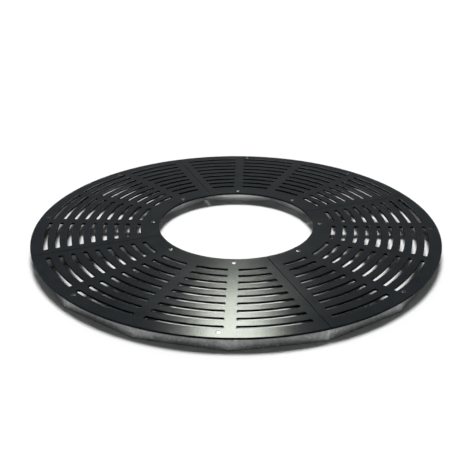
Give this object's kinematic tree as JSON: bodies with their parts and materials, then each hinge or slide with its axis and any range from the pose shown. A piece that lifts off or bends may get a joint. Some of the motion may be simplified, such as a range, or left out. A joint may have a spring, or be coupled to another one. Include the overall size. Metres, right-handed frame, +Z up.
{
  "type": "round tree grate",
  "caption": "Round tree grate in quarter sections: black slotted plates with arc slots, screwed to bent flat bar frames, galvanised, round an open centre.",
  "frame": {"origin": "centre of the tree opening, at ground level under the frame", "axes": "+Z up through the tree opening, -Y towards the front of the picture's view, +X to its right"},
  "size_m": [1.6, 1.6, 0.058],
  "materials": {
    "coated_plate": "satin black powder coat",
    "galvanised_bar": "hot-dip galvanised, mottled",
    "stainless_fastener": "satin"
  },
  "bodies": {
    "root": {"plate_front": "coated_plate", "plate_right": "coated_plate", "plate_back": "coated_plate", "plate_left": "coated_plate", "outer_band_front": "galvanised_bar", "outer_band_right": "galvanised_bar", "outer_band_back": "galvanised_bar", "outer_band_left": "galvanised_bar", "inner_band_front": "galvanised_bar", "inner_band_right": "galvanised_bar", "inner_band_back": "galvanised_bar", "inner_band_left": "galvanised_bar", "end_bar_front_a": "galvanised_bar", "end_bar_front_b": "galvanised_bar", "end_bar_right_a": "galvanised_bar", "end_bar_right_b": "galvanised_bar", "end_bar_back_a": "galvanised_bar", "end_bar_back_b": "galvanised_bar", "end_bar_left_a": "galvanised_bar", "end_bar_left_b": "galvanised_bar", "outer_lug_front_a": "galvanised_bar", "outer_lug_front_b": "galvanised_bar", "outer_lug_right_a": "galvanised_bar", "outer_lug_right_b": "galvanised_bar", "outer_lug_back_a": "galvanised_bar", "outer_lug_back_b": "galvanised_bar", "outer_lug_left_a": "galvanised_bar", "outer_lug_left_b": "galvanised_bar", "inner_lug_front_a": "galvanised_bar", "inner_lug_front_b": "galvanised_bar", "inner_lug_right_a": "galvanised_bar", "inner_lug_right_b": "galvanised_bar", "inner_lug_back_a": "galvanised_bar", "inner_lug_back_b": "galvanised_bar", "inner_lug_left_a": "galvanised_bar", "inner_lug_left_b": "galvanised_bar", "outer_screw_front_a": "stainless_fastener", "outer_screw_front_b": "stainless_fastener", "outer_screw_right_a": "stainless_fastener", "outer_screw_right_b": "stainless_fastener", "outer_screw_back_a": "stainless_fastener", "outer_screw_back_b": "stainless_fastener", "outer_screw_left_a": "stainless_fastener", "outer_screw_left_b": "stainless_fastener", "inner_screw_front_a": "stainless_fastener", "inner_screw_front_b": "stainless_fastener", "inner_screw_right_a": "stainless_fastener", "inner_screw_right_b": "stainless_fastener", "inner_screw_back_a": "stainless_fastener", "inner_screw_back_b": "stainless_fastener", "inner_screw_left_a": "stainless_fastener", "inner_screw_left_b": "stainless_fastener", "joint_bolt_front_right": "stainless_fastener", "joint_bolt_right_back": "stainless_fastener", "joint_bolt_back_left": "stainless_fastener", "joint_bolt_left_front": "stainless_fastener", "joint_nut_front_right": "stainless_fastener", "joint_nut_right_back": "stainless_fastener", "joint_nut_back_left": "stainless_fastener", "joint_nut_left_front": "stainless_fastener"}
  },
  "joints": []
}
